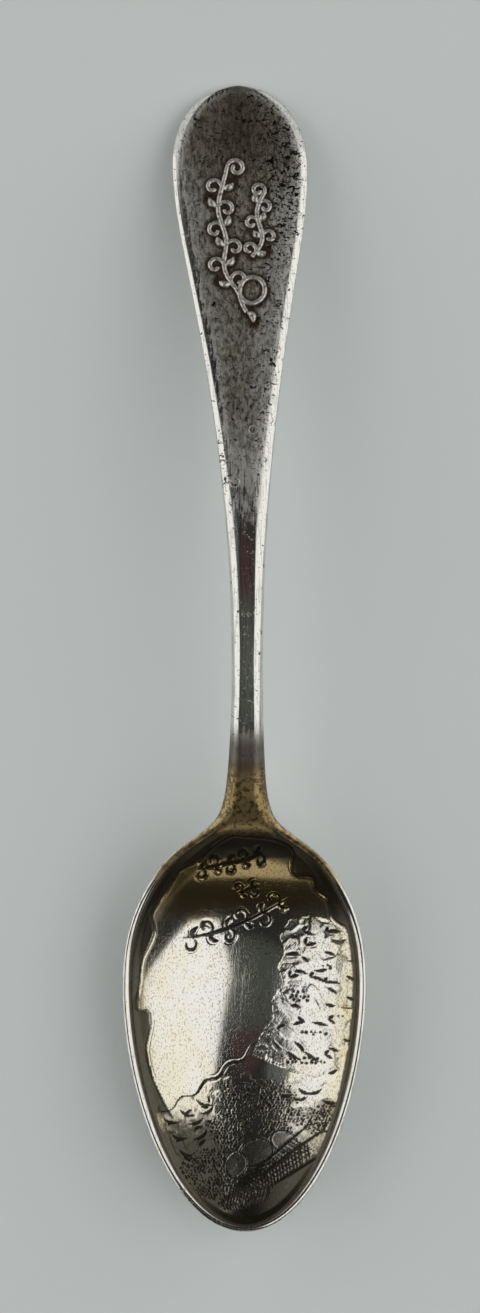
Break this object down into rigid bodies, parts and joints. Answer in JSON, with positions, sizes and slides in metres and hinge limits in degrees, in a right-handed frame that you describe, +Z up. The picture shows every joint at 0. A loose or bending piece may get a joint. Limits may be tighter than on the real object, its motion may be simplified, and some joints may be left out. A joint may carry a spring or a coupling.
{
  "type": "souvenir spoon",
  "caption": "Teaspoon-size souvenir spoon with an egg-shaped gilded bowl, a slim arched stem and a round-ended handle.",
  "frame": {"origin": "centre of the spoon's plan box, on the surface that it lies on", "axes": "+Y along the spoon from the bowl's tip to the handle's end, +Z up out of the bowl, +X across the bowl"},
  "size_m": [0.031, 0.146, 0.018],
  "materials": {
    "silver": "satin",
    "gilt": "polished"
  },
  "bodies": {
    "root": {"spoon_body": "silver", "bowl_gilding": "gilt"}
  },
  "joints": []
}
